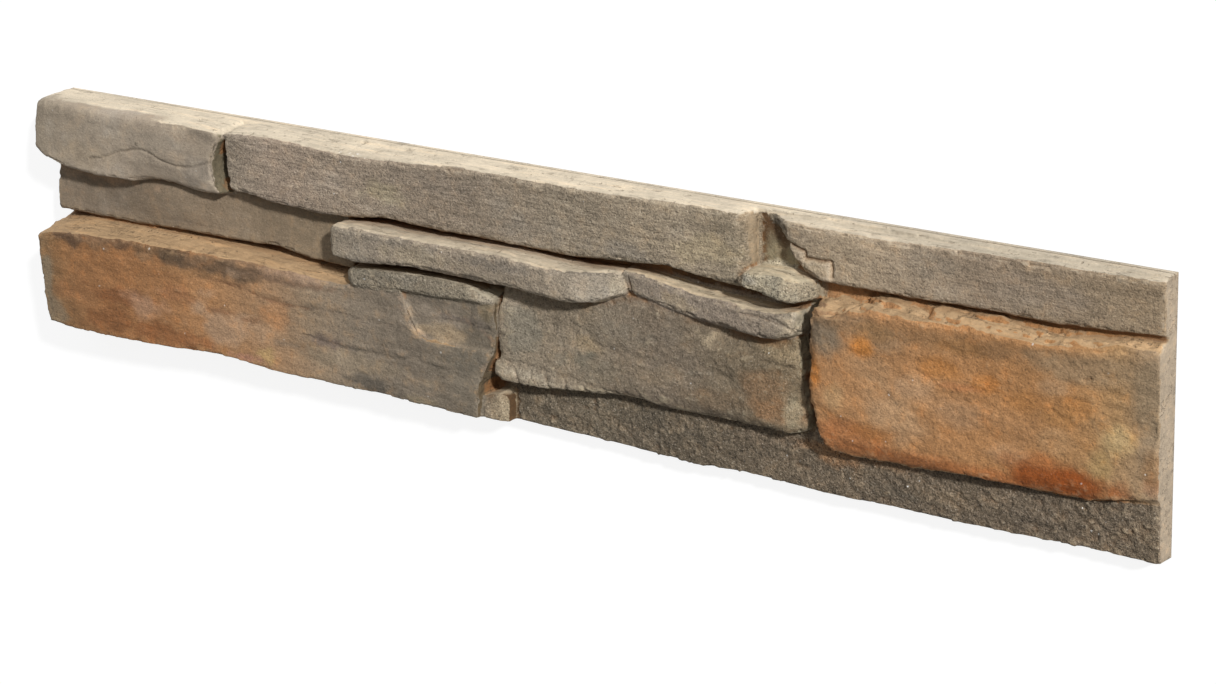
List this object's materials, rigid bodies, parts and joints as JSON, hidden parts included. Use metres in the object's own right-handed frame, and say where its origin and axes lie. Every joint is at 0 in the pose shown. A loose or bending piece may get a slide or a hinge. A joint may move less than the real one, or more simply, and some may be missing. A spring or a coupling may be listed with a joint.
{
  "type": "stone cladding slip",
  "caption": "Cast concrete cladding slip with a flat back and a stacked-stone face of riven ledges, slabs and blocks, for bonding to a wall.",
  "frame": {"origin": "centre of the flat back face, on the surface that the slip lies on", "axes": "+X along the slip towards its thin right end, +Y towards its top edge as it hangs on a wall, +Z out of the stone face"},
  "size_m": [0.8, 0.152, 0.04],
  "materials": {
    "cast_stone": "riven cast stone faces in grey, tan and orange, with pale cement sides"
  },
  "bodies": {
    "root": {"cladding_slip": "cast_stone"}
  },
  "joints": []
}
